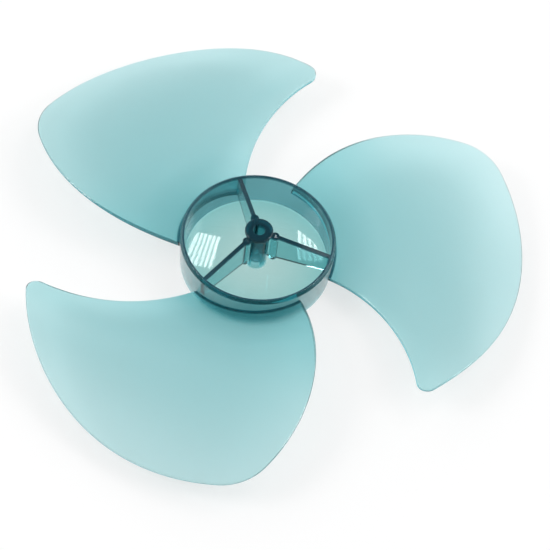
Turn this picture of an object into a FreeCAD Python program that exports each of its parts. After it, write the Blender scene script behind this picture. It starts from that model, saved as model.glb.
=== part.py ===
"""Three-blade fan blade for a pedestal fan, moulded in one piece.

The hub is an open cup that faces the motor, with a slightly dished floor.  A boss with a stepped
shaft hole stands in the middle of the cup, and three ribs carry it from the wall.  Each blade is
a thin, twisted and cambered plate, cut to a plan outline of three large arcs and joined to the
hub wall.

Frame: millimetres, +Z along the shaft towards the motor, origin at the mouth of the shaft hole.
"""
import FreeCAD, Part
import math
import os
import re

import Sketcher

SIZES = [
    # hub cup
    ("rim_radius", 51.5, "outer radius of the hub at its open rim"),
    ("wall_draft", 1.2, "how much narrower the hub is at its front"),
    ("hub_height", 28.8, "rim to the front"),
    ("hub_wall", 2.9, "thickness of the cup wall"),
    ("floor_thickness", 1.8, "thickness of the floor at the boss"),
    ("floor_dish", 1.0, "how much higher the floor is at the wall than at the boss"),
    ("rim_slope", 1.7, "slope from the top of the rim to the outside of the wall"),
    ("rim_bevel", 0.3, "bevel of both edges of the rim's top"),
    ("corner_round", 0.6, "rounding inside, between wall and floor"),
    ("front_bevel", 0.8, "bevel between wall and front"),
    # boss and shaft hole
    ("boss_rise", 8.0, "height of the boss above the rim"),
    ("boss_wall", 3.1, "thickness of the boss around the shaft hole"),
    ("collar_step", 2.2, "how far the collar at the boss mouth stands out from the boss"),
    ("collar_height", 2.5, "height of the collar"),
    ("collar_bevel", 0.6, "bevel of the collar's outer edge"),
    ("bore_diameter", 8.0, "shaft hole"),
    ("thread_step", 0.8, "how far the hole narrows for the threaded end of the shaft"),
    ("thread_hole_length", 7.8, "length of the narrow part of the hole, at the front"),
    # ribs
    ("rib_count", 3, "ribs between boss and wall"),
    ("rib_azimuth", -8.5, "direction of the first rib, degrees"),
    ("rib_thickness", 2.8, "thickness of a rib"),
    ("rib_depth", 16.5, "lower edge of a rib below the rim"),
    ("rib_rim_drop", 0.7, "rib top below the rim where it meets the wall"),
    ("rib_boss_drop", 1.0, "rib top below the boss mouth where it meets the boss"),
    ("post_radius", 2.8, "round post on each rib"),
    ("post_distance", 11.0, "post axis from the shaft axis"),
    ("post_drop", 1.0, "post foot below the lower edge of the rib"),
    # blade outline, in the blade's own frame: out along the blade, side towards the leading edge
    ("blade_count", 3, "blades around the hub"),
    ("blade_azimuth", 130.0, "direction of the first blade, degrees"),
    ("lead_edge_radius", 116.7, "arc of the convex leading edge"),
    ("lead_centre_out", 114.4, "its centre, out along the blade"),
    ("lead_centre_side", -31.9, "its centre, to the side"),
    ("tip_edge_radius", 140.8, "arc of the tip edge"),
    ("tip_centre_out", 37.7, "its centre, out along the blade"),
    ("tip_centre_side", 10.0, "its centre, to the side"),
    ("trail_edge_radius", 112.3, "arc of the hollow trailing edge"),
    ("trail_centre_out", -16.6, "its centre, out along the blade"),
    ("trail_centre_side", -113.6, "its centre, to the side"),
    ("shoulder_round", 35.0, "corner between leading edge and tip edge"),
    ("horn_round", 7.0, "corner between tip edge and trailing edge"),
    # blade plate: three sections across the blade
    ("root_station_share", 0.35, "first section, out along the blade, as a share of the rim radius"),
    ("root_height", -24.5, "blade below the rim at the first section"),
    ("root_pitch", 16.7, "pitch at the first section, degrees"),
    ("root_thickness", 3.4, "plate at the first section"),
    ("middle_height", -8.4, "blade below the rim half way out"),
    ("middle_pitch", 2.8, "pitch half way out, degrees"),
    ("middle_thickness", 1.9, "plate half way out"),
    ("tip_height", -18.1, "blade below the rim at the tip"),
    ("tip_pitch", 3.7, "pitch at the tip, degrees"),
    ("tip_thickness", 1.3, "plate at the tip"),
    ("tip_margin", 4.0, "last section beyond the tip edge"),
    ("camber_radius", 980.0, "hollow of the blade across its width"),
    ("edge_bevel_share", 0.38, "bevel of the blade edges, as a share of the tip's thickness"),
]

# Lengths that follow from the sizes above, as formulas
FRONT_RADIUS = "(rim_radius - wall_draft)"
BORE_RADIUS = "(bore_diameter / 2)"
BOSS_RADIUS = "(bore_diameter / 2 + boss_wall)"
BOSS_MIDDLE = "(bore_diameter / 2 + boss_wall / 2)"
WALL_MIDDLE = "(rim_radius - hub_wall / 2)"
RIM_LEVEL = "(-boss_rise)"
FRONT_LEVEL = "(-boss_rise - hub_height)"
FLOOR_RISE = "(floor_thickness + floor_dish)"
RIB_LEVEL = "(-boss_rise - rib_depth)"

document = FreeCAD.newDocument("pedestal_fan_blade")
sheet = document.addObject("Spreadsheet::Sheet", "sizes")


def fill_sheet():
    """Write every size as a plain number with its name as the alias."""
    for row, (name, value, meaning) in enumerate(SIZES, start=1):
        sheet.set(f"A{row}", name)
        sheet.set(f"B{row}", str(value))
        sheet.set(f"C{row}", meaning)
        sheet.setAlias(f"B{row}", name)
    document.recompute()


def size(name):
    """The value of one cell, for the few places where an expression can't be used."""
    return float(sheet.get(name))


def cell(formula):
    """Put the sheet's name before each size named in a formula."""
    names = {name for name, _, _ in SIZES}
    return re.sub("[a-z_]+", lambda word: f"sizes.{word[0]}" if word[0] in names else word[0], formula)


def bind(feature, prop, formula):
    feature.setExpression(prop, cell(formula))


def origin_feature(body, role):
    return next(item for item in body.Origin.OriginFeatures if item.Role == role)


def new_sketch(body, name, role, offset=None):
    """A sketch on one of the body's own planes, moved along the plane's normal by a formula."""
    sketch = body.newObject("Sketcher::SketchObject", name)
    sketch.AttachmentSupport = [(origin_feature(body, role), "")]
    sketch.MapMode = "FlatFace"
    if offset is not None:
        bind(sketch, ".AttachmentOffset.Base.z", offset)
    return sketch


def place_point(sketch, geometry, end, across, up):
    """Fix one end of a sketch line or arc by two formulas, starting from where it was drawn."""
    drawn = sketch.getPoint(geometry, end)
    for kind, start, formula in (("DistanceX", drawn.x, across), ("DistanceY", drawn.y, up)):
        index = sketch.addConstraint(Sketcher.Constraint(kind, -1, 1, geometry, end, start))
        bind(sketch, f"Constraints[{index}]", formula)


def draw_polygon(sketch, corners, rough):
    """A closed outline of straight lines; each corner is a pair of formulas, rough a first guess."""
    count = len(corners)
    for index in range(count):
        start = FreeCAD.Vector(*rough[index], 0)
        finish = FreeCAD.Vector(*rough[(index + 1) % count], 0)
        sketch.addGeometry(Part.LineSegment(start, finish), False)
    for index in range(count):
        sketch.addConstraint(Sketcher.Constraint("Coincident", index, 2, (index + 1) % count, 1))
    for index, (across, up) in enumerate(corners):
        place_point(sketch, index, 1, across, up)


def build_cup(body):
    """Turn the cup and its boss from one half section, then bevel and round its edges."""
    collar_radius = f"{BOSS_RADIUS} + collar_step"
    hole_radius = f"{BORE_RADIUS} - thread_step"
    hole_level = f"{FRONT_LEVEL} + thread_hole_length"
    lean = "wall_draft / hub_height"
    corners = [
        (hole_radius, FRONT_LEVEL),
        (FRONT_RADIUS, FRONT_LEVEL),
        (f"rim_radius - rim_slope * {lean}", f"{RIM_LEVEL} - rim_slope"),
        (f"rim_radius - rim_slope * (1 + {lean})", RIM_LEVEL),
        ("rim_radius - hub_wall", RIM_LEVEL),
        (f"{FRONT_RADIUS} - hub_wall + {FLOOR_RISE} * {lean}", f"{FRONT_LEVEL} + {FLOOR_RISE}"),
        (BOSS_RADIUS, f"{FRONT_LEVEL} + floor_thickness"),
        (BOSS_RADIUS, "-collar_height"),
        (collar_radius, "-collar_height"),
        (collar_radius, "0"),
        (BORE_RADIUS, "0"),
        (BORE_RADIUS, hole_level),
        (hole_radius, hole_level),
    ]
    drawn = [(3, -37), (50, -37), (51, -10), (49, -8), (48, -8), (47, -34), (7, -35), (7, -2), (9, -2),
             (9, 0), (4, 0), (4, -29), (3, -29)]
    section = new_sketch(body, "hub_section", "XZ_Plane")
    draw_polygon(section, corners, drawn)
    cup = body.newObject("PartDesign::Revolution", "cup")
    cup.Profile = section
    cup.ReferenceAxis = (section, ["V_Axis"])
    cup.Angle = 360
    document.recompute()
    rim = -size("boss_rise")
    front = rim - size("hub_height")
    floor = front + size("floor_thickness") + size("floor_dish")
    last = dress_circles(body, cup, "PartDesign::Chamfer", "rim_bevel", rim, 2)
    last = dress_circles(body, last, "PartDesign::Fillet", "corner_round", floor, 1)
    last = dress_circles(body, last, "PartDesign::Chamfer", "front_bevel", front, 1)
    dress_circles(body, last, "PartDesign::Chamfer", "collar_bevel", 0, 1)


def dress_circles(body, base, kind, amount, level, count):
    """Bevel or round the widest circular edges of a turned shape at one level."""
    circles = []
    for index, edge in enumerate(base.Shape.Edges, start=1):
        if isinstance(edge.Curve, Part.Circle) and abs(edge.Curve.Center.z - level) < 1e-4:
            circles.append((edge.Curve.Radius, f"Edge{index}"))
    dressed = body.newObject(kind, f"{amount}_edges")
    dressed.Base = (base, [edge for _, edge in sorted(circles)[-count:]])
    bind(dressed, "Radius" if kind.endswith("Fillet") else "Size", amount)
    document.recompute()
    return dressed


def build_hub():
    """The cup with its boss, the ribs and their posts, as one body."""
    body = document.addObject("PartDesign::Body", "hub")
    build_cup(body)

    rib_side = new_sketch(body, "rib_side", "XZ_Plane")
    corners = [
        (BOSS_MIDDLE, RIB_LEVEL),
        (f"{WALL_MIDDLE} - wall_draft * rib_depth / hub_height", RIB_LEVEL),
        (WALL_MIDDLE, f"{RIM_LEVEL} - rib_rim_drop"),
        (BOSS_MIDDLE, "-rib_boss_drop"),
    ]
    draw_polygon(rib_side, corners, [(5.5, -21), (48, -21), (50, -7.7), (5.5, -1)])
    rib = body.newObject("PartDesign::Pad", "rib")
    rib.Profile = rib_side
    rib.SideType = "Symmetric"
    bind(rib, "Length", "rib_thickness")

    post_ring = new_sketch(body, "post_ring", "XY_Plane", f"{RIB_LEVEL} - post_drop")
    centre = FreeCAD.Vector(size("post_distance"), 0, 0)
    circle = Part.Circle(centre, FreeCAD.Vector(0, 0, 1), size("post_radius"))
    post_ring.addGeometry(circle, False)
    post_ring.addConstraint(Sketcher.Constraint("PointOnObject", 0, 3, -1))
    place = post_ring.addConstraint(Sketcher.Constraint("DistanceX", -1, 1, 0, 3, centre.x))
    bind(post_ring, f"Constraints[{place}]", "post_distance")
    girth = post_ring.addConstraint(Sketcher.Constraint("Radius", 0, circle.Radius))
    bind(post_ring, f"Constraints[{girth}]", "post_radius")
    post = body.newObject("PartDesign::Pad", "post")
    post.Profile = post_ring
    rib_fall = f"(boss_rise + rib_rim_drop - rib_boss_drop) / ({WALL_MIDDLE} - {BOSS_MIDDLE})"
    post_top = f"-rib_boss_drop - (post_distance - {BOSS_MIDDLE}) * {rib_fall}"
    bind(post, "Length", f"{post_top} - {RIB_LEVEL} + post_drop")

    ring = body.newObject("PartDesign::PolarPattern", "rib_ring")
    ring.Originals = [rib, post]
    ring.Axis = (origin_feature(body, "Z_Axis"), [""])
    ring.Angle = 360
    bind(ring, "Occurrences", "rib_count")
    body.Tip = ring
    bind(body, "Placement.Rotation.Angle", "rib_azimuth")
    document.recompute()
    return body


def draw_section(sketch, height, pitch, thickness):
    """One cross-section of the blade plate: two shallow arcs, closed by short upright ends."""
    sag = "tip_edge_radius ^ 2 / (2 * camber_radius)"
    rise = f"tip_edge_radius * tan({pitch} * 1 deg)"
    reach = size("tip_edge_radius")
    drop = reach ** 2 / (2 * size("camber_radius"))
    tilt = reach * math.tan(math.radians(size(pitch)))
    for side in (0.5, -0.5):
        level = size(height) - size("boss_rise") + side * size(thickness)
        start = FreeCAD.Vector(-reach, level + drop - tilt, 0)
        crown = FreeCAD.Vector(0, level, 0)
        finish = FreeCAD.Vector(reach, level + drop + tilt, 0)
        index = sketch.addGeometry(Part.Arc(start, crown, finish), False)
        middle = f"{height} + {RIM_LEVEL} + {sag} + {side} * {thickness}"
        place_point(sketch, index, 1, "-tip_edge_radius", f"{middle} - {rise}")
        place_point(sketch, index, 2, "tip_edge_radius", f"{middle} + {rise}")
        bend = sketch.addConstraint(Sketcher.Constraint("Radius", index, size("camber_radius")))
        bind(sketch, f"Constraints[{bend}]", "camber_radius")
    for end in (1, 2):
        line = Part.LineSegment(sketch.getPoint(0, end), sketch.getPoint(1, end))
        index = sketch.addGeometry(line, False)
        sketch.addConstraint(Sketcher.Constraint("Coincident", index, 1, 0, end))
        sketch.addConstraint(Sketcher.Constraint("Coincident", index, 2, 1, end))


def build_plate():
    """The twisted and cambered plate that a blade is cut from."""
    body = document.addObject("PartDesign::Body", "blade_plate")
    first = "root_station_share * rim_radius"
    outer = "tip_centre_out + tip_edge_radius + tip_margin"
    stations = [
        ("root", first),
        ("middle", f"({first} + {outer}) / 2"),
        ("tip", outer),
    ]
    sketches = []
    for name, place in stations:
        sketch = new_sketch(body, f"{name}_section", "YZ_Plane", place)
        draw_section(sketch, f"{name}_height", f"{name}_pitch", f"{name}_thickness")
        sketches.append(sketch)
    document.recompute()
    loft = body.newObject("PartDesign::AdditiveLoft", "plate")
    loft.Profile = sketches[0]
    loft.Sections = sketches[1:]
    loft.Ruled = False
    body.Tip = loft
    document.recompute()
    return body


def add_disc(name, edge):
    """A tall upright cylinder whose side is one of the arcs of the blade outline."""
    disc = document.addObject("Part::Cylinder", name)
    bind(disc, "Radius", f"{edge}_edge_radius")
    bind(disc, "Height", "4 * hub_height")
    bind(disc, "Placement.Base.x", f"{edge}_centre_out")
    bind(disc, "Placement.Base.y", f"{edge}_centre_side")
    bind(disc, "Placement.Base.z", f"{RIM_LEVEL} - 2 * hub_height")
    return disc


def build_outline():
    """The plan outline as an upright block: inside two arcs, outside the third, corners rounded."""
    lens = document.addObject("Part::Common", "outline_lens")
    lens.Base = add_disc("lead_disc", "lead")
    lens.Tool = add_disc("tip_disc", "tip")
    cut = document.addObject("Part::Cut", "outline_cut")
    cut.Base = lens
    cut.Tool = add_disc("trail_disc", "trail")
    document.recompute()
    corners = []
    for index, edge in enumerate(cut.Shape.Edges, start=1):
        start, finish = edge.Vertexes[0].Point, edge.Vertexes[-1].Point
        upright = math.hypot(finish.x - start.x, finish.y - start.y) < 1e-6
        outside = math.hypot(start.x, start.y) > 1.5 * size("rim_radius")
        if upright and outside and start.x > 0:
            radius = size("shoulder_round") if start.y > 0 else size("horn_round")
            corners.append((index, radius, radius))
    outline = document.addObject("Part::Fillet", "blade_outline")
    outline.Base = cut
    outline.Edges = corners
    document.recompute()
    return outline


def build_blade(plate, outline):
    """One blade: the plate cut to its outline and stopped half way into the hub wall."""
    trimmed = document.addObject("Part::Common", "trimmed_plate")
    trimmed.Base = plate
    trimmed.Tool = outline
    core = document.addObject("Part::Cone", "wall_middle")
    bind(core, "Radius1", f"{WALL_MIDDLE} - 2 * wall_draft")
    bind(core, "Radius2", f"{WALL_MIDDLE} + 2 * wall_draft")
    bind(core, "Height", "4 * hub_height")
    bind(core, "Placement.Base.z", f"{RIM_LEVEL} - 2 * hub_height")
    blade = document.addObject("Part::Cut", "one_blade")
    blade.Base = trimmed
    blade.Tool = core
    document.recompute()
    return blade


def bevel_blade(blade):
    """Bevel the free edges of the blade, all but those at the hub wall."""
    bevel = size("edge_bevel_share") * size("tip_thickness")
    limit = size("rim_radius") + size("hub_wall")
    picked = []
    for index, edge in enumerate(blade.Shape.Edges, start=1):
        middle = edge.valueAt((edge.FirstParameter + edge.LastParameter) / 2)
        upright = edge.Length < 2 * size("root_thickness")
        if math.hypot(middle.x, middle.y) > limit and not upright:
            picked.append((index, bevel, bevel))
    bevelled = document.addObject("Part::Chamfer", "bevelled_blade")
    bevelled.Base = blade
    bevelled.Edges = picked
    document.recompute()
    return bevelled


def build_fan(hub, blade):
    """The hub and its ring of blades, moulded as one piece."""
    ring = []
    for index in range(int(size("blade_count"))):
        copy = document.addObject("App::Link", f"blade_{index + 1}")
        copy.LinkedObject = blade
        copy.LinkTransform = True
        bind(copy, "Placement.Rotation.Angle", f"blade_azimuth + {index} * 360 / blade_count")
        ring.append(copy)
    fan = document.addObject("Part::MultiFuse", "fan")
    fan.Label = "fan_blade"
    fan.Shapes = [hub] + ring
    fan.Refine = True
    document.recompute()
    return fan


def check_document():
    """Stop if any feature failed, before anything is written."""
    for feature in document.Objects:
        if "Invalid" in feature.State or "Error" in feature.State:
            raise RuntimeError(f"{feature.Name} failed: {feature.State}")


def write_part(fan):
    shape = fan.Shape
    if shape.isNull() or not shape.isValid() or len(shape.Solids) != 1:
        raise RuntimeError(f"{fan.Label} isn't one valid solid")
    os.makedirs("parts", exist_ok=True)
    shape.exportStep(f"parts/{fan.Label}.step")
    print(f"{fan.Label}: {shape.Volume / 1000:.2f} cm3, {len(shape.Faces)} faces")


fill_sheet()
hub_body = build_hub()
one_blade = bevel_blade(build_blade(build_plate(), build_outline()))
fan_blade = build_fan(hub_body, one_blade)
check_document()
write_part(fan_blade)
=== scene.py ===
# %% [markdown]
# # A clear plastic fan blade
# The part is one moulding: a cup-shaped hub with a shaft boss, three ribs, and three broad
# twisted blades, all in one clear, teal-tinted plastic.  It lies on its closed front.
# This lesson loads the imported solid as the fixed frame, models a smoother copy of it with
# softened edges, gives that copy a clear plastic, and sets it on a white table under lamps and a
# camera.

# %% Load the imported solid
import math
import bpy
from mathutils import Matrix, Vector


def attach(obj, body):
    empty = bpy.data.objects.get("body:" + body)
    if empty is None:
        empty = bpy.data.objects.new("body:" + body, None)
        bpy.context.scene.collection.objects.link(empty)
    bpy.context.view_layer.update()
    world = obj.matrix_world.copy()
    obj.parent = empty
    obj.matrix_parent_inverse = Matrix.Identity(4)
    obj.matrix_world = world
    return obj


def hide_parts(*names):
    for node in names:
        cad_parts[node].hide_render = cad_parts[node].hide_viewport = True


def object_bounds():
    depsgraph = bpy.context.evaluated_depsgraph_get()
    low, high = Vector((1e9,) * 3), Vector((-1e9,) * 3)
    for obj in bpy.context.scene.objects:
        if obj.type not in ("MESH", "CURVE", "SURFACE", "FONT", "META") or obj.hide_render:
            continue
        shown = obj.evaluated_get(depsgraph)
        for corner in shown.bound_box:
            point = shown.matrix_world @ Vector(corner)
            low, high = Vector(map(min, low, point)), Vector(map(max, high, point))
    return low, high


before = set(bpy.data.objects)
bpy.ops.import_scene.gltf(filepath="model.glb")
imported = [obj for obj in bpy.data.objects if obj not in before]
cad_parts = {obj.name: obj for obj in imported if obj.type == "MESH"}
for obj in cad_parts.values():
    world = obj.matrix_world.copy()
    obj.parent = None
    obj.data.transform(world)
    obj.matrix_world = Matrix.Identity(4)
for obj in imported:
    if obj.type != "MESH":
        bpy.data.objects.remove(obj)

from types import SimpleNamespace

import bmesh
import bpy
from mathutils import Matrix, Vector

MM = 0.001
cad_box = [list(corner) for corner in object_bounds()]
print("solid box in metres:", cad_box)

# %% [markdown]
# ## The cup and its boss
# The hub is round, so its shape is a half section swung once around the shaft.  It could be
# stacked from cylinders and hollowed out, but in Blender a wire of a few corners and one spin
# give the same skin in one step.  The rings that the corners leave are bevelled afterwards,
# because a bevel after the spin keeps the ring of faces even, and each corner can have its
# own radius.

# %% Small helpers for bmesh pieces
WELD, RING_REACH = 1e-6, 1e-5


def spin_round(bm, steps):
    """Spin what is there once around the shaft, close the seam and turn the faces outwards."""
    bmesh.ops.spin(bm, geom=bm.verts[:] + bm.edges[:], cent=(0, 0, 0), axis=(0, 0, 1),
                   angle=math.tau, steps=steps, use_merge=True)
    bmesh.ops.remove_doubles(bm, verts=bm.verts[:], dist=WELD)
    bmesh.ops.recalc_face_normals(bm, faces=bm.faces[:])


def turn_profile(corners, steps):
    """Swing a closed wire of (radius, height) corners, in millimetres, around the shaft."""
    bm = bmesh.new()
    wire = [bm.verts.new((radius * MM, 0, height * MM)) for radius, height in corners]
    for first, second in zip(wire, wire[1:] + wire[:1]):
        bm.edges.new((first, second))
    spin_round(bm, steps)
    return bm


def round_edges(bm, edges, radius, segments):
    """Round a set of edges by a radius in millimetres."""
    bmesh.ops.bevel(bm, geom=edges, offset=radius * MM, offset_type="OFFSET", segments=segments,
                    profile=0.5, affect="EDGES", material=-1, clamp_overlap=True)


def ring_edges(bm, radius, height):
    """The edges of the ring that one corner of a turned profile left."""
    def on_ring(vert):
        flat = math.hypot(vert.co.x, vert.co.y)
        return abs(flat - radius * MM) < RING_REACH and abs(vert.co.z - height * MM) < RING_REACH
    return [edge for edge in bm.edges if all(on_ring(vert) for vert in edge.verts)]


def make_piece(bm, name):
    """Put a bmesh into the scene as an object at the origin."""
    mesh = bpy.data.meshes.new(name)
    bm.to_mesh(mesh)
    bm.free()
    piece = bpy.data.objects.new(name, mesh)
    bpy.context.scene.collection.objects.link(piece)
    return piece


# %% Name the cup's sizes, in millimetres from the mouth of the shaft hole
MOUTH, RIM, FRONT = 0.0, -8.0, -36.8
RIM_RADIUS, FRONT_RADIUS, WALL, RIM_SLOPE = 51.5, 50.3, 2.9, 1.7
FLOOR, DISH = -35.0, 1.9
DISH_RINGS = range(45, 9, -3)
BOSS_RADIUS, COLLAR_RADIUS, BORE_RADIUS, HOLE_RADIUS = 7.1, 9.3, 4.0, 3.2
COLLAR_FOOT, BORE_END = -2.5, -29.0
CUP_STEPS = 160
DRAFT = (RIM_RADIUS - FRONT_RADIUS) / (RIM - FRONT)


def inner_radius(height):
    """Inside of the drafted wall at one height."""
    return FRONT_RADIUS - WALL + DRAFT * (height - FRONT)


floor_top = FLOOR + DISH
floor_radius = inner_radius(floor_top)


def floor_height(radius):
    """The floor is dished: it rises from the boss to the wall."""
    share = (radius ** 2 - BOSS_RADIUS ** 2) / (floor_radius ** 2 - BOSS_RADIUS ** 2)
    return FLOOR + DISH * share


print("floor meets the wall at radius", round(floor_radius, 2), "mm")

# %% Turn the cup and round its corners
slope_foot = (inner_radius(RIM - RIM_SLOPE) + WALL, RIM - RIM_SLOPE)
slope_top = (slope_foot[0] - RIM_SLOPE, RIM)
rim_inside = (RIM_RADIUS - WALL, RIM)
floor_corner = (floor_radius, floor_top)
front_corner = (FRONT_RADIUS, FRONT)
boss_foot = (BOSS_RADIUS, FLOOR)
collar_under = (COLLAR_RADIUS, COLLAR_FOOT)
collar_top = (COLLAR_RADIUS, MOUTH)
bore_mouth = (BORE_RADIUS, MOUTH)
dish = [(radius, floor_height(radius)) for radius in DISH_RINGS]
cup_corners = [
    (HOLE_RADIUS, FRONT), front_corner, slope_foot, slope_top, rim_inside, floor_corner, *dish,
    boss_foot, (BOSS_RADIUS, COLLAR_FOOT), collar_under, collar_top, bore_mouth,
    (BORE_RADIUS, BORE_END), (HOLE_RADIUS, BORE_END),
]
cup = turn_profile(cup_corners, CUP_STEPS)

# A corner, the radius of its rounding and the number of steps in it
ROUNDINGS = (
    (slope_foot, 0.8, 4), (slope_top, 0.25, 3), (rim_inside, 0.2, 3),
    (floor_corner, 0.5, 3), (front_corner, 0.8, 4), (boss_foot, 0.8, 4),
    (collar_top, 0.7, 4), (collar_under, 0.4, 2), (bore_mouth, 0.3, 2),
)
for corner, radius, segments in ROUNDINGS:
    round_edges(cup, ring_edges(cup, *corner), radius, segments)
fan = make_piece(cup, "fan")
print("cup:", len(fan.data.polygons), "faces")

# %% [markdown]
# ## Ribs and posts
# Three ribs hold the boss.  Each is a flat plate whose top falls from the boss to the rim,
# with a round post beside the boss.  One rib and one post are made from a face and a
# cylinder, and a spin that duplicates sets the other two, so all three are sure to be equal.

# %% Make the ribs
# As many ribs, posts and blades stand around the shaft
AROUND = 3
RIB_AZIMUTH = math.radians(-8.5)
RIB_START, RIB_END, RIB_FOOT_END = 5.55, 50.0, 49.3
RIB_TOP, RIB_TOP_END, RIB_FOOT = -1.0, RIM - 0.7, RIM - 16.5
RIB_HALF, RIB_ROUND, LONG_EDGE = 1.4, 0.2, 10.0


def repeat_around(bm, azimuth):
    """Turn a piece to its azimuth and copy it evenly around the shaft."""
    bmesh.ops.rotate(bm, cent=(0, 0, 0), matrix=Matrix.Rotation(azimuth, 3, "Z"), verts=bm.verts[:])
    bmesh.ops.spin(bm, geom=bm.verts[:] + bm.edges[:] + bm.faces[:], cent=(0, 0, 0), axis=(0, 0, 1),
                   angle=math.tau * (AROUND - 1) / AROUND, steps=AROUND - 1, use_duplicate=True)


def make_ribs():
    """A plate with a sloping top, its long edges rounded."""
    bm = bmesh.new()
    foot = [(RIB_START, RIB_FOOT), (RIB_FOOT_END, RIB_FOOT)]
    side = foot + [(RIB_END, RIB_TOP_END), (RIB_START, RIB_TOP)]
    face = bm.faces.new([bm.verts.new((out * MM, -RIB_HALF * MM, up * MM)) for out, up in side])
    grown = bmesh.ops.extrude_face_region(bm, geom=[face])["geom"]
    moved = [item for item in grown if isinstance(item, bmesh.types.BMVert)]
    bmesh.ops.translate(bm, verts=moved, vec=(0, 2 * RIB_HALF * MM, 0))
    bmesh.ops.recalc_face_normals(bm, faces=bm.faces[:])
    long_edges = [edge for edge in bm.edges if abs(edge.verts[0].co.y - edge.verts[1].co.y) < WELD
                  and abs(edge.verts[0].co.x - edge.verts[1].co.x) > LONG_EDGE * MM]
    round_edges(bm, long_edges, RIB_ROUND, segments=3)
    repeat_around(bm, RIB_AZIMUTH)
    return make_piece(bm, "ribs")


ribs = make_ribs()
print("ribs:", len(ribs.data.polygons), "faces")

# %% Make the posts
POST_DISTANCE, POST_RADIUS, POST_ROUND, POST_STEPS = 11.0, 2.8, 0.12, 40
POST_FOOT, POST_TOP = RIB_FOOT - 1.0, -1.9


def make_posts():
    """Round posts from just under the ribs to just over them."""
    bm = bmesh.new()
    place = Matrix.Translation((POST_DISTANCE * MM, 0, (POST_FOOT + POST_TOP) / 2 * MM))
    bmesh.ops.create_cone(bm, cap_ends=True, segments=POST_STEPS, radius1=POST_RADIUS * MM,
                          radius2=POST_RADIUS * MM, depth=(POST_TOP - POST_FOOT) * MM, matrix=place)
    rims = [edge for edge in bm.edges if abs(edge.verts[0].co.z - edge.verts[1].co.z) < WELD]
    round_edges(bm, rims, POST_ROUND, segments=2)
    repeat_around(bm, RIB_AZIMUTH)
    return make_piece(bm, "posts")


posts = make_posts()
print("posts:", len(posts.data.polygons), "faces")

# %% [markdown]
# ## The blades
# A blade is a thin plate that is hard to draw and easy to describe: from above, its edge is a
# chain of arcs, and its height follows three cambered sections with a pitch of their own.
# So a flat disc of even rings is spun and thickened, its rim is pulled on to the chain of
# arcs, and every point is moved on to the twisted plate.  The last few rings follow the edge
# and step down to a narrow chamfer, which a square grid cut by the edge couldn't do cleanly.

# %% The chain of arcs, seen from above
# A circle is a centre (out along the blade, to the side) and a radius, in millimetres
LEAD, TIP, TRAIL = ((114.4, -31.9), 116.7), ((37.7, 10.0), 140.8), ((-16.6, -113.6), 112.3)
ROOT = ((0.0, 0.0), 49.2)
SHOULDER_ROUND, HORN_ROUND = 35.0, 7.0


def meet(first, second, side):
    """A point where two circles cross: side +1 is left of the line between their centres."""
    (start, radius), (finish, other) = first, second
    start, line = Vector(start), Vector(finish) - Vector(start)
    along = (line.length_squared + radius ** 2 - other ** 2) / (2 * line.length)
    across = math.sqrt(radius ** 2 - along ** 2)
    line.normalize()
    return start + line * along + Vector((-line.y, line.x)) * across * side


def offset(circle, amount):
    """The same circle with a larger or smaller radius."""
    return circle[0], circle[1] + amount


def touch(circle, corner):
    """Where a corner's round touches the circle that it runs into."""
    reach = (Vector(corner[0]) - Vector(circle[0])).normalized()
    return Vector(circle[0]) + reach * circle[1]


shoulder = meet(offset(LEAD, -SHOULDER_ROUND), offset(TIP, -SHOULDER_ROUND), -1)
horn = meet(offset(TIP, -HORN_ROUND), offset(TRAIL, HORN_ROUND), 1)
SHOULDER, HORN = (tuple(shoulder), SHOULDER_ROUND), (tuple(horn), HORN_ROUND)
root_trail, root_lead = meet(ROOT, TRAIL, 1), meet(ROOT, LEAD, 1)
for name, spot in (("shoulder", shoulder), ("horn", horn)):
    print(name, "rounded about", [round(value, 1) for value in spot], "mm")

# %% Join the arcs into one outline
# Each circle with the way round that the outline follows it
ARCS = ((TRAIL, -1), (HORN, 1), (TIP, 1), (SHOULDER, 1), (LEAD, 1), (ROOT, -1))
stops = [root_trail, touch(TRAIL, HORN), touch(TIP, HORN), touch(TIP, SHOULDER), touch(LEAD, SHOULDER),
         root_lead, root_trail]
chain = []
for (circle, turn), start, finish in zip(ARCS, stops, stops[1:]):
    centre = Vector(circle[0])
    begin = math.atan2(*(start - centre).yx)
    end = math.atan2(*(finish - centre).yx)
    sweep = ((end - begin) * turn) % math.tau
    chain.append((centre, circle[1], begin, sweep * turn))
lengths = [radius * abs(sweep) for _, radius, _, sweep in chain]
print("arcs of the outline in mm:", [round(length, 1) for length in lengths])


def outline_point(share):
    """The point of the outline at a share, 0 to 1, of its whole length."""
    way = (share % 1.0) * sum(lengths)
    for (centre, radius, begin, sweep), length in zip(chain, lengths):
        if way <= length:
            break
        way -= length
    angle = begin + sweep * min(way / length, 1.0)
    return centre + Vector((math.cos(angle), math.sin(angle))) * radius


# %% The twisted plate
ROOT_SHARE, TIP_MARGIN = 0.35, 4.0
ROOT_STATION, TIP_STATION = ROOT_SHARE * RIM_RADIUS, TIP[0][0] + TIP[1] + TIP_MARGIN
STATIONS = (ROOT_STATION, (ROOT_STATION + TIP_STATION) / 2, TIP_STATION)
HEIGHTS, THICKNESS = (-24.5, -8.4, -18.1), (4.6, 2.65, 2.2)
SLOPES = tuple(math.tan(math.radians(pitch)) for pitch in (16.7, 2.8, 3.7))
CAMBER = 980.0
FULL_THICKNESS, THINNING, FREE_FROM, FREE_OVER = 1.03, 0.2, 55.0, 40.0


def between(values, out):
    """A smooth value along the blade, through its three sections."""
    total = 0.0
    for here, value in zip(STATIONS, values):
        weight = 1.0
        for other in STATIONS:
            if other != here:
                weight *= (out - other) / (here - other)
        total += weight * value
    return total


def blade_height(out, side):
    """Middle of the plate, in millimetres above the boss mouth."""
    return RIM + between(HEIGHTS, out) + between(SLOPES, out) * side + side ** 2 / (2 * CAMBER)


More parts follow.
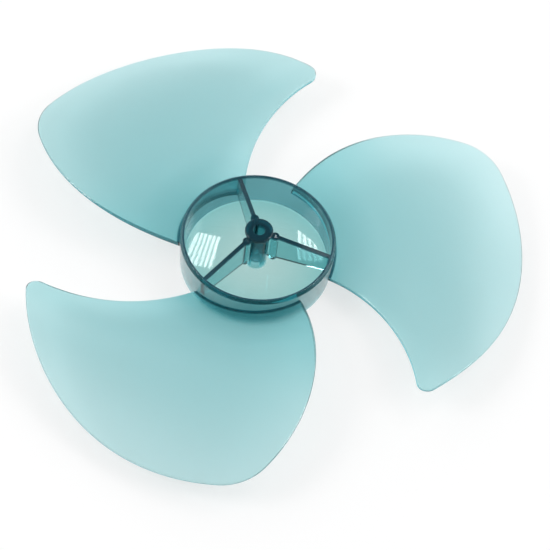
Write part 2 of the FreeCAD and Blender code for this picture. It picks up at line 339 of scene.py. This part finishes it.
def blade_thickness(out, share):
    """Thickness along the blade; away from the hub it also thins towards the outline."""
    free = min(max((out - FREE_FROM) / FREE_OVER, 0.0), 1.0)
    return between(THICKNESS, out) * (FULL_THICKNESS - THINNING * free * share ** 2)


print("sections at", [round(station, 1) for station in STATIONS], "mm from the shaft")

# %% Make the three blades
BLADE_AZIMUTH = math.radians(130)
# The disc's rings are drawn around this point, out along the blade and to the side
BLADE_HEART = Vector((112.0, 12.0))
BLADE_STEPS, BLADE_RINGS = 480, 12
# Each edge ring: how far in from the outline, and how far under the plate's face
EDGE_STEPS = ((0.95, 0.0), (0.75, 0.05), (0.12, 0.5), (0.0, 0.68))


def make_blades():
    """Spin a disc, thicken it, move it on to the twisted plate with a stepped edge, repeat it."""
    bm = bmesh.new()
    all_rings = BLADE_RINGS + len(EDGE_STEPS) - 1
    spoke = bm.edges.new((bm.verts.new((0, 0, 0)), bm.verts.new((1, 0, 0))))
    bmesh.ops.subdivide_edges(bm, edges=[spoke], cuts=all_rings - 1)
    spin_round(bm, BLADE_STEPS)
    top = bmesh.ops.extrude_face_region(bm, geom=bm.faces[:])["geom"]
    upper = {vert for vert in top if isinstance(vert, bmesh.types.BMVert)}
    for vert in bm.verts:
        ring = round(vert.co.xy.length * all_rings)
        inset, drop = EDGE_STEPS[max(ring - BLADE_RINGS, 0)]
        reach = outline_point(math.atan2(vert.co.y, vert.co.x) / math.tau) - BLADE_HEART
        share = min(ring / BLADE_RINGS, 1.0) * (1 - inset / reach.length)
        spot = BLADE_HEART + reach * share
        half = blade_thickness(spot.x, share) / 2 - drop
        up = blade_height(*spot) + (half if vert in upper else -half)
        vert.co = Vector((spot.x, spot.y, up)) * MM
    bmesh.ops.recalc_face_normals(bm, faces=bm.faces[:])
    repeat_around(bm, BLADE_AZIMUTH)
    return make_piece(bm, "blades")


blades = make_blades()
print("blades:", len(blades.data.polygons), "faces")

# %% [markdown]
# ## One moulding
# Clear plastic shows every inner wall, so the pieces can't just be pushed into each other.
# An exact boolean union dissolves the walls between them and leaves one closed skin, which
# is what light enters and leaves.  Edges sharper than the rounded ones stay crisp, and
# weighted normals keep the large flat faces from picking up a shade from their narrow edges.

# %% Fuse everything into one skin
SHARP_ANGLE = math.radians(38)


def fuse(base, tool):
    """Add a tool to the base with an exact union, and take the tool away."""
    union = base.modifiers.new("union", "BOOLEAN")
    union.operation = "UNION"
    union.solver = "EXACT"
    union.object = tool
    graph = bpy.context.evaluated_depsgraph_get()
    joined = bpy.data.meshes.new_from_object(base.evaluated_get(graph))
    base.modifiers.clear()
    base.data = joined
    bpy.data.objects.remove(tool)


for tool in (ribs, posts, blades):
    fuse(fan, tool)
skin = bmesh.new()
skin.from_mesh(fan.data)
bmesh.ops.remove_doubles(skin, verts=skin.verts[:], dist=WELD)
open_edges = sum(1 for edge in skin.edges if not edge.is_manifold)
triangles = sum(len(face.verts) - 2 for face in skin.faces)
volume = round(skin.calc_volume() / (10 * MM) ** 3, 2)
print("fan:", triangles, "triangles,", open_edges, "open edges,", volume, "cm3")
skin.to_mesh(fan.data)
skin.free()
fan.data.name = "fan"
fan.data.shade_smooth()
fan.data.set_sharp_from_angle(angle=SHARP_ANGLE)
flats = fan.modifiers.new("flats", "WEIGHTED_NORMAL")
flats.keep_sharp = True
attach(fan, "root")
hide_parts("fan_blade")

# %% [markdown]
# ## The plastic
# The whole part is one tinted, clear plastic.  A glassy surface alone would be colourless:
# the teal comes from the depth of plastic that light has crossed, so thin blades look pale
# and walls that are seen edge on look nearly black.  Volume absorption does just that.
# Moulded plastic is never quite clear, though: a little milky scatter, mixed in where the light
# runs along a wall or an edge, does some of the rest.  The rest is painted shade: darker tints on
# the inner wall, floor, boss, blade roots, rib tops and collar, and darker scatter on rim and crests.

# %% A small class for shader values
class Wire:
    """A socket of a material that can be added, multiplied and so on."""

    def __init__(self, tree, socket=None):
        self.tree = tree
        self.socket = socket

    def node(self, kind, settings, sockets, output=0):
        """Add a node, set it up, feed its sockets with numbers or wires, and give one output."""
        node = self.tree.nodes.new(kind)
        for name, value in settings.items():
            setattr(node, name, value)
        for name, value in sockets.items():
            if isinstance(value, Wire):
                self.tree.links.new(value.socket, node.inputs[name])
            else:
                node.inputs[name].default_value = value
        return Wire(self.tree, node.outputs[output] if node.outputs else None)

    def calculate(self, operation, first, second):
        """One Math node on two values."""
        return self.node("ShaderNodeMath", {"operation": operation}, {0: first, 1: second})

    def __add__(self, other):
        return self.calculate("ADD", self, other)

    __radd__ = __add__

    def __sub__(self, other):
        return self.calculate("SUBTRACT", self, other)

    def __rsub__(self, other):
        return self.calculate("SUBTRACT", other, self)

    def __mul__(self, other):
        return self.calculate("MULTIPLY", self, other)

    __rmul__ = __mul__

    def clamped(self):
        """The value held between 0 and 1."""
        return self.node("ShaderNodeClamp", {}, {"Value": self})

    def above(self, edge, soft):
        """1 above an edge and 0 below it, with a soft step between."""
        return ((self - (edge - soft / 2)) * (1 / soft)).clamped()

    def below(self, edge, soft):
        """1 below an edge and 0 above it, with a soft step between."""
        return 1 - self.above(edge, soft)

    def blend(self, share, first, second):
        """A colour between two colours."""
        return self.node("ShaderNodeMix", {"data_type": "RGBA"}, {0: share, 6: first, 7: second}, 2)


def new_material(name):
    """An empty material and the wire that starts its nodes."""
    material = bpy.data.materials.new(name)
    material.use_nodes = True
    material.node_tree.nodes.clear()
    return material, Wire(material.node_tree)


# %% Find the faces that get painted shade or a finish of their own
RIB_FALL = (RIB_TOP - RIB_TOP_END) / (RIB_END - RIB_START)
# Where a finish or a painted shade starts or stops, and over what length it fades, in millimetres
ROOT_FADE, ROOT_LINE, SATIN_START, RUB_START = (16.0, 28.0), (1.9, 0.6), (4.0, 4.0), (30.0, 12.0)


def find_faces(wire):
    """Masks from 0 to 1 for parts of the skin, by place in millimetres and by how level a face lies."""
    spot = wire.node("ShaderNodeTexCoord", {}, {}, "Object")
    to_plan = (1 / MM, 1 / MM, 0)
    flat = wire.node("ShaderNodeVectorMath", {"operation": "MULTIPLY"}, {0: spot, 1: to_plan})
    radius = wire.node("ShaderNodeVectorMath", {"operation": "LENGTH"}, {0: flat}, "Value")
    height = wire.node("ShaderNodeSeparateXYZ", {}, {0: spot}, "Z") * (1 / MM)
    facing = wire.node("ShaderNodeNewGeometry", {}, {}, "Normal")
    level = wire.node("ShaderNodeSeparateXYZ", {}, {0: facing}, "Z")
    flatness = wire.calculate("ABSOLUTE", level, 0)
    outside = radius - height * DRAFT - (RIM_RADIUS - RIM * DRAFT)
    over_rib = height + (radius - RIB_START) * RIB_FALL - RIB_TOP

    inner_side = outside.above(-WALL - 0.8, 0.4) * outside.below(-WALL + 0.9, 0.4)
    blade_side = outside.above(-0.1, 0.3)
    hub_side = outside.below(0.5, 0.3)
    rib_tops = over_rib.above(-1.3, 0.8) * outside.below(-1.7, 0.3)
    collar = radius.below(COLLAR_RADIUS + 0.5, 0.3) * height.above(COLLAR_FOOT - 0.8, 0.3)
    # Painted shade: rib tops and collar get a near-black tint and scatter, for light lost along the
    # ribs and the boss.
    crest = (rib_tops + collar).clamped()
    high = height.above(RIM - 2.2, 0.8)
    low = height.below(RIM - 2.2, 0.8)
    inside_cup = outside.below(-WALL - 1.3, 0.4) * radius.above(BOSS_RADIUS + 1.4, 0.5)
    return SimpleNamespace(
        spot=spot,
        crest=crest,
        # Painted shade: the inner wall is tinted darker for the shaded table behind it that shows
        # through the plastic.
        inner_wall=inner_side * height.above(floor_top - 0.3, 0.4) * height.below(RIM - 0.5, 0.4),
        # Painted shade: the floor of the cup is tinted darker for the cup's shadow on the table under
        # it.
        floor=height.below(floor_top + 0.4, 0.5) * outside.below(-WALL + 0.4, 0.4),
        # Painted shade: the boss and its bore are tinted darker for the shade inside the bore.
        boss=radius.below(BOSS_RADIUS + 0.5, 0.4) * height.above(BORE_END + 1, 2),
        # Painted shade: the blades darken towards their roots, where the wall shades them.
        root_shade_band=blade_side * outside.below(*ROOT_FADE),
        # Painted shade: a dark line on the blades' upper faces where they meet the wall.
        root=blade_side * outside.below(*ROOT_LINE) * level.above(0.5, 0.2),
        satin=outside.above(*SATIN_START) * flatness.above(0.9, 0.1),
        rubbed=rib_tops * radius.above(*RUB_START),
        # Partly painted shade: the rim gets a little milky scatter, coloured dark teal for light lost
        # down the wall.
        rim=high * outside.above(-WALL - 0.3, 0.3) * hub_side,
        outer_wall=outside.above(-0.5, 0.3) * hub_side * level.below(0.4, 0.2) * low,
        plates=inside_cup * height.above(FLOOR + 3.5, 0.5) * (1 - crest),
        edges=outside.above(1.0, 0.6) * flatness.below(0.6, 0.2),
    )


print("a rib's top falls", round(RIB_FALL, 3), "mm for each mm outwards")

# %% Mix the plastic
WHITE, MILK = (1, 1, 1, 1), (0.85, 0.88, 0.87, 1)
# Painted shade in these tints: the inner wall, the floor and the boss are darkened.
WALL_SHADE, FLOOR_SHADE, BOSS_SHADE = (0.24, 0.45, 0.5, 1), (0.78, 0.83, 0.79, 1), (0.2, 0.42, 0.47, 1)
# Painted shade: blades darker near their roots, and a dark line where they meet the wall.
ROOT_SHADE, JOIN_SHADE = (0.73, 0.86, 0.865, 1), (0.04, 0.16, 0.2, 1)
# Painted shade: rib tops and collar darkened.
CREST_SHADE = (0.02, 0.1, 0.135, 1)
# Painted shade: the dark teal scatter on the rim and the near-black scatter on the crests.
RIM_SHADE_MILK, EDGE_MILK, CREST_SHADE_MILK = (0.07, 0.46, 0.53, 1), (0.15, 0.75, 0.85, 1), (0.01, 0.15, 0.22, 1)
WALL_HAZE, RIM_HAZE, PLATE_HAZE, CREST_HAZE, EDGE_HAZE = 0.28, 0.16, 0.08, 0.15, 0.4
POLISH, SATIN, GRAIN, RUBBED, MILK_ROUGHNESS = 0.02, 0.22, 0.03, 0.2, 0.5
GRAIN_SCALE, GRAIN_DETAIL = 900.0, 3.0
DEPTH_COLOUR, DEPTH_DENSITY = (0.122, 0.72, 0.755, 1), 325
REFRACTION = 1.5


def paint(wire, colour, coats):
    """Lay one colour after another over its own faces."""
    for faces, coat in coats:
        colour = wire.blend(faces, colour, coat)
    return colour


def make_plastic():
    """Clear teal plastic: polished in the cup, satin on the blades, darkest where deepest; painted
    shade on some faces.
    """
    material, wire = new_material("clear_teal_plastic")
    on = find_faces(wire)
    # The base colour is white with painted shade laid over the inner wall, floor, boss, blade roots,
    # the line where the blades meet the wall, rib tops and collar.
    tint = paint(wire, WHITE, (
        (on.inner_wall, WALL_SHADE), (on.floor, FLOOR_SHADE), (on.boss, BOSS_SHADE),
        (on.root_shade_band, ROOT_SHADE), (on.root, JOIN_SHADE), (on.crest, CREST_SHADE),
    ))
    grain = wire.node("ShaderNodeTexNoise", {}, {
        "Vector": on.spot, "Scale": GRAIN_SCALE, "Detail": GRAIN_DETAIL,
    })
    roughness = on.satin * (grain * GRAIN + SATIN) + on.rubbed * RUBBED + POLISH
    clear = wire.node("ShaderNodeBsdfPrincipled", {}, {
        "Base Color": tint, "Roughness": roughness, "IOR": REFRACTION, "Transmission Weight": 1.0,
    })
    # The scatter is pale milk, with painted shade as dark teal on the rim and near black on the crests.
    scatter = paint(wire, MILK, ((on.rim, RIM_SHADE_MILK), (on.edges, EDGE_MILK), (on.crest, CREST_SHADE_MILK)))
    milk = wire.node("ShaderNodeBsdfPrincipled", {}, {
        "Base Color": scatter, "Roughness": MILK_ROUGHNESS, "IOR": REFRACTION,
    })
    haze = on.outer_wall * WALL_HAZE + on.rim * RIM_HAZE + on.plates * PLATE_HAZE
    haze = haze + on.crest * CREST_HAZE + on.edges * EDGE_HAZE
    surface = wire.node("ShaderNodeMixShader", {}, {0: haze, 1: clear, 2: milk})
    depth = wire.node("ShaderNodeVolumeAbsorption", {}, {
        "Color": DEPTH_COLOUR, "Density": DEPTH_DENSITY,
    })
    wire.node("ShaderNodeOutputMaterial", {}, {"Surface": surface, "Volume": depth})
    return material


fan.data.materials.clear()
fan.data.materials.append(make_plastic())
print("material:", fan.data.materials[0].name)

# %% [markdown]
# ## The table
# The part lies on a plain white table.  More light would make the table white but wash out
# the part.  So the table is a real surface that keeps the shadow, and for rays that the
# camera, a reflection or the plastic sends to it, a share of plain white is mixed in.

# %% Lay the white table
TABLE_REACH, PAPER, WHITE_SHARE = 6, (0.9, 0.9, 0.9, 1), 0.67


def make_table(height):
    """A wide white sheet under the part."""
    bm = bmesh.new()
    place = Matrix.Translation((0, 0, height))
    bmesh.ops.create_grid(bm, x_segments=1, y_segments=1, size=TABLE_REACH, matrix=place)
    table = make_piece(bm, "table")
    material, wire = new_material("white_table")
    paper = wire.node("ShaderNodeBsdfDiffuse", {}, {"Color": PAPER})
    glow = wire.node("ShaderNodeEmission", {}, {"Color": WHITE, "Strength": 1.0})
    seen = wire.node("ShaderNodeLightPath", {}, {}, "Is Camera Ray")
    for ray in ("Is Glossy Ray", "Is Transmission Ray"):
        seen = seen + wire.node("ShaderNodeLightPath", {}, {}, ray)
    mixed = wire.node("ShaderNodeMixShader", {}, {0: seen.clamped() * WHITE_SHARE, 1: paper, 2: glow})
    wire.node("ShaderNodeOutputMaterial", {}, {"Surface": mixed})
    table.data.materials.append(material)


table_height = cad_box[0][2]
make_table(table_height)
print("table at", round(table_height, 4), "m")

# %% [markdown]
# ## The light
# Clear plastic shows what stands around it, so the surroundings matter as much as the lamps.
# A white tent gives even light, and it is dark towards the camera and in one panel above and
# behind, so that the polished floor of the cup mirrors something dark and keeps its colour.
# A softbox on each side and one at the back draw the edges.  Two banks of narrow lamps stand
# for windows with slats: the dished floor mirrors them as two striped patches.

# %% Put up the tent
TENT_LIGHT, PANEL_LIGHT = 1.35, 0.06
PANEL_WAY, PANEL_EDGE, PANEL_SOFT = (0, 0.56, 0.83), 0.92, 0.07
OPEN_EDGE, OPEN_SOFT = -0.15, 0.3


def make_world():
    """A white tent, open and dark on the camera's side, with a dark panel above and behind."""
    world = bpy.data.worlds.new("studio")
    bpy.context.scene.world = world
    world.use_nodes = True
    world.node_tree.nodes.clear()
    wire = Wire(world.node_tree)
    tent = wire.node("ShaderNodeBackground", {}, {"Color": WHITE, "Strength": TENT_LIGHT})
    shade = wire.node("ShaderNodeBackground", {}, {"Color": WHITE, "Strength": PANEL_LIGHT})
    way = wire.node("ShaderNodeTexCoord", {}, {}, "Generated")
    towards = wire.node("ShaderNodeVectorMath", {"operation": "DOT_PRODUCT"}, {
        0: way, 1: PANEL_WAY,
    }, "Value")
    ahead = wire.node("ShaderNodeSeparateXYZ", {}, {0: way}, "Y")
    dark = (towards.above(PANEL_EDGE, PANEL_SOFT) + ahead.below(OPEN_EDGE, OPEN_SOFT)).clamped()
    sky = wire.node("ShaderNodeMixShader", {}, {0: dark, 1: tent, 2: shade})
    wire.node("ShaderNodeOutputWorld", {}, {"Surface": sky})


make_world()
print("world:", bpy.context.scene.world.name)

# %% Set the lamps
LAMP_DISTANCE = 2
SLATS = 7
# Name, middle azimuth, elevation and pitch in degrees, slat size in metres, watts per square metre
BANKS = (
    ("right", 5.1, 55.3, 0.5, (0.0058, 0.13), 46),
    ("left", -7.9, 58.0, 0.6, (0.0062, 0.15), 46),
)
# Name, azimuth and elevation in degrees, size in metres, watts
SOFTBOXES = (
    ("left_softbox", -100, 38, (0.8, 0.8), 16),
    ("right_softbox", 90, 34, (0.8, 0.8), 11),
    ("back_softbox", 48, 52, (0.7, 0.7), 5),
)


def add_lamp(name, azimuth, elevation, size, power):
    """A flat lamp that looks at the part; its azimuth runs to the right from straight behind."""
    turn, lift = math.radians(azimuth), math.radians(elevation)
    flat = math.cos(lift)
    place = Vector((math.sin(turn) * flat, math.cos(turn) * flat, math.sin(lift))) * LAMP_DISTANCE
    lamp = bpy.data.lights.new(name, "AREA")
    lamp.shape = "RECTANGLE"
    lamp.size, lamp.size_y = size
    lamp.energy = power
    box = bpy.data.objects.new(name, lamp)
    box.location = place
    box.rotation_euler = (-place).to_track_quat("-Z", "Y").to_euler()
    bpy.context.scene.collection.objects.link(box)


for name, middle, elevation, pitch, size, glare in BANKS:
    for slat in range(SLATS):
        azimuth = middle + pitch * (slat - SLATS // 2)
        add_lamp(f"{name}_slat_{slat}", azimuth, elevation, size, glare * size[0] * size[1])
for softbox in SOFTBOXES:
    add_lamp(*softbox)
print("lamps:", len(bpy.data.lights))

# %% [markdown]
# ## The camera
# The photograph looks down at a bit over fifty-five degrees from a distance, with the picture
# turned a few degrees.  The camera stands where the fitted view puts it: its three axes are
# written out from the elevation and the roll, and its place from where the rim's middle falls.

# %% Stand the camera
ELEVATION, ROLL = math.radians(56.2), math.radians(-8.0)
FOCAL_PIXELS, PIXEL, FRAME_SIZE = 2089.0, 0.654 * MM, 550
RIM_PIXEL = (258.4, 236.8)
SENSOR = 36


def stand_camera():
    """Place the camera so that the middle of the rim falls on its pixel."""
    high, deep = math.sin(ELEVATION), math.cos(ELEVATION)
    rise = Vector((0, high, deep))
    right = math.cos(ROLL) * Vector((1, 0, 0)) - math.sin(ROLL) * rise
    up = math.sin(ROLL) * Vector((1, 0, 0)) + math.cos(ROLL) * rise
    ahead = Vector((0, deep, -high))
    across = (RIM_PIXEL[0] - FRAME_SIZE / 2) * PIXEL
    above = (FRAME_SIZE / 2 - RIM_PIXEL[1]) * PIXEL
    place = Vector((0, 0, RIM * MM)) - across * right - above * up - FOCAL_PIXELS * PIXEL * ahead
    lens = bpy.data.cameras.new("camera")
    lens.sensor_width = SENSOR
    lens.lens = SENSOR * FOCAL_PIXELS / FRAME_SIZE
    camera = bpy.data.objects.new("camera", lens)
    turn = Matrix((right, up, -ahead)).transposed().to_4x4()
    camera.matrix_world = Matrix.Translation(place) @ turn
    bpy.context.scene.collection.objects.link(camera)
    bpy.context.scene.camera = camera
    print("camera at", [round(value, 3) for value in place], "lens", round(lens.lens, 1), "mm")


stand_camera()

# %% [markdown]
# ## The last lines
# Standard shows colours as they are written.

# %% Finish
bpy.context.scene.view_settings.view_transform = "Standard"
